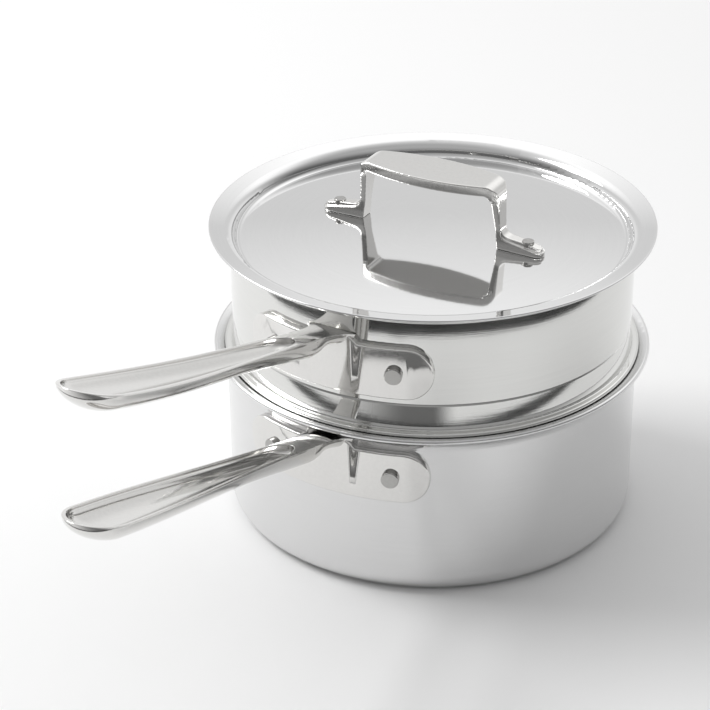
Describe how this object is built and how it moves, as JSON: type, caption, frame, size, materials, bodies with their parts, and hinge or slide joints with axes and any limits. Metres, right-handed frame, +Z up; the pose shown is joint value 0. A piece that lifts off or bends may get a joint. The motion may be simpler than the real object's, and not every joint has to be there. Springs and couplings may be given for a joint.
{
  "type": "double boiler",
  "caption": "Stainless steel double boiler: a clad saucepan, a fitted insert that hangs in its mouth, and a domed lid that rests on top.",
  "frame": {"origin": "centre of the saucepan's base, on the surface it stands on", "axes": "+Z up; both long handles point along -X; the lid's bridge handle lies along Y"},
  "size_m": [0.4171, 0.223, 0.2044],
  "materials": {
    "polished_steel": "polished",
    "brushed_sheet": "fine brushed, nearly polished",
    "core_aluminium": "satin, seen nowhere",
    "satin_casting": "satin",
    "polished_casting": "polished",
    "rivet_steel": "satin"
  },
  "bodies": {
    "saucepan": {"saucepan_steel_shell": "polished_steel", "saucepan_aluminium_core": "core_aluminium", "saucepan_handle": "satin_casting", "saucepan_rivet_left": "rivet_steel", "saucepan_rivet_right": "rivet_steel"},
    "insert": {"insert_body": "polished_steel", "insert_handle": "satin_casting", "insert_rivet_left": "rivet_steel", "insert_rivet_right": "rivet_steel"},
    "lid": {"lid_shell": "brushed_sheet", "lid_handle": "polished_casting", "lid_rivet_left": "rivet_steel", "lid_rivet_right": "rivet_steel"}
  },
  "joints": [
    {"name": "insert_lift", "type": "slide", "parent": "saucepan", "child": "insert", "axis": [0, 0, 1], "range_m": [0, 0.15]},
    {"name": "lid_lift", "type": "slide", "parent": "insert", "child": "lid", "axis": [0, 0, 1], "range_m": [0, 0.12]}
  ]
}
